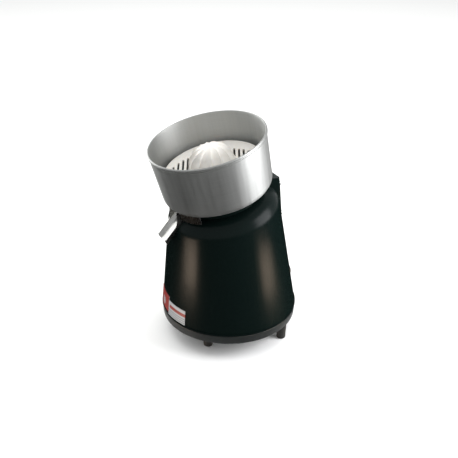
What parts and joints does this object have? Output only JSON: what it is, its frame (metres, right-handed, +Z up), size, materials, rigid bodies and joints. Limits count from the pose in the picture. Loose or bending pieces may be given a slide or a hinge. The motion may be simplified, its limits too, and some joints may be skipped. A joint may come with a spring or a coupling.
{
  "type": "citrus juicer",
  "caption": "Bench-top citrus press: conical motor base on feet, tilted open bowl with spout, slotted strainer and ribbed reamer.",
  "frame": {"origin": "on the ground under the feet, in the middle of the overall footprint", "axes": "+Z up, -Y towards the spout, +X to the right of the spout seen from behind it"},
  "size_m": [0.2012, 0.2215, 0.3228],
  "materials": {
    "body_paint": "gloss",
    "skirt_plastic": "satin moulded",
    "foot_rubber": "matt",
    "screw_steel": "zinc plated",
    "core_steel": "varnished stacked sheet",
    "copper_wire": "varnished",
    "motor_casting": "as cast",
    "bearing_steel": "ground",
    "damper_rubber": "matt",
    "seal_rubber": "matt",
    "shaft_steel": "ground",
    "fan_plastic": "moulded",
    "capacitor_case": "moulded",
    "terminal_plastic": "moulded",
    "cover_paint": "gloss",
    "switch_plastic": "moulded",
    "rocker_plastic": "moulded",
    "gland_plastic": "moulded",
    "label_print": "printed film",
    "bowl_metal": "spun satin",
    "spout_metal": "cast and polished",
    "rivet_metal": "plain",
    "strainer_plastic": "moulded",
    "reamer_plastic": "moulded",
    "hub_steel": "turned"
  },
  "bodies": {
    "housing": {"body_shell": "body_paint", "rear_cover": "cover_paint", "rear_cover_screws": "screw_steel", "base_ring": "skirt_plastic", "base_plate": "skirt_plastic", "base_screws": "screw_steel", "foot_front_left": "foot_rubber", "foot_front_right": "foot_rubber", "foot_rear_left": "foot_rubber", "foot_rear_right": "foot_rubber", "foot_screws": "screw_steel", "motor_top_bracket": "motor_casting", "motor_bottom_bracket": "motor_casting", "motor_stator": "core_steel", "stator_windings": "copper_wire", "motor_tie_rods": "screw_steel", "upper_bearing": "bearing_steel", "lower_bearing": "bearing_steel", "damper_pads": "damper_rubber", "motor_mount_screws": "screw_steel", "shaft_seal": "seal_rubber", "capacitor": "capacitor_case", "capacitor_clip": "screw_steel", "terminal_block": "terminal_plastic", "terminal_screws": "screw_steel", "switch_body": "switch_plastic", "cable_gland": "gland_plastic", "label_plate": "label_print"},
    "rotor": {"motor_shaft": "shaft_steel", "rotor_core": "core_steel", "cooling_fan": "fan_plastic", "drive_pin": "shaft_steel"},
    "bowl_set": {"bowl": "bowl_metal", "spout": "spout_metal", "spout_rivets": "rivet_metal"},
    "strainer_set": {"strainer": "strainer_plastic"},
    "reamer_set": {"reamer": "reamer_plastic", "reamer_hub": "hub_steel"},
    "rocker": {"switch_rocker": "rocker_plastic"}
  },
  "joints": [
    {"name": "rotor_spin", "type": "hinge", "parent": "housing", "child": "rotor", "pos_m": [0, -0.0116, 0.2257], "axis": [0, -0.2284, 0.9736], "continuous": true},
    {"name": "bowl_lift", "type": "slide", "parent": "housing", "child": "bowl_set", "axis": [0, -0.2284, 0.9736], "range_m": [0, 0.12]},
    {"name": "strainer_lift", "type": "slide", "parent": "bowl_set", "child": "strainer_set", "axis": [0, -0.2284, 0.9736], "range_m": [0, 0.068]},
    {"name": "reamer_lift", "type": "slide", "parent": "rotor", "child": "reamer_set", "axis": [0, -0.2284, 0.9736], "range_m": [0, 0.26]},
    {"name": "rocker_press", "type": "hinge", "parent": "housing", "child": "rocker", "pos_m": [0, 0.0768, 0.19892], "axis": [1, 0, 0], "range_deg": [-16, 0]}
  ],
  "couplings": [
    {"joint": "strainer_lift", "follows": "bowl_lift", "ratio": 0.55},
    {"joint": "reamer_lift", "follows": "bowl_lift", "ratio": 2}
  ]
}
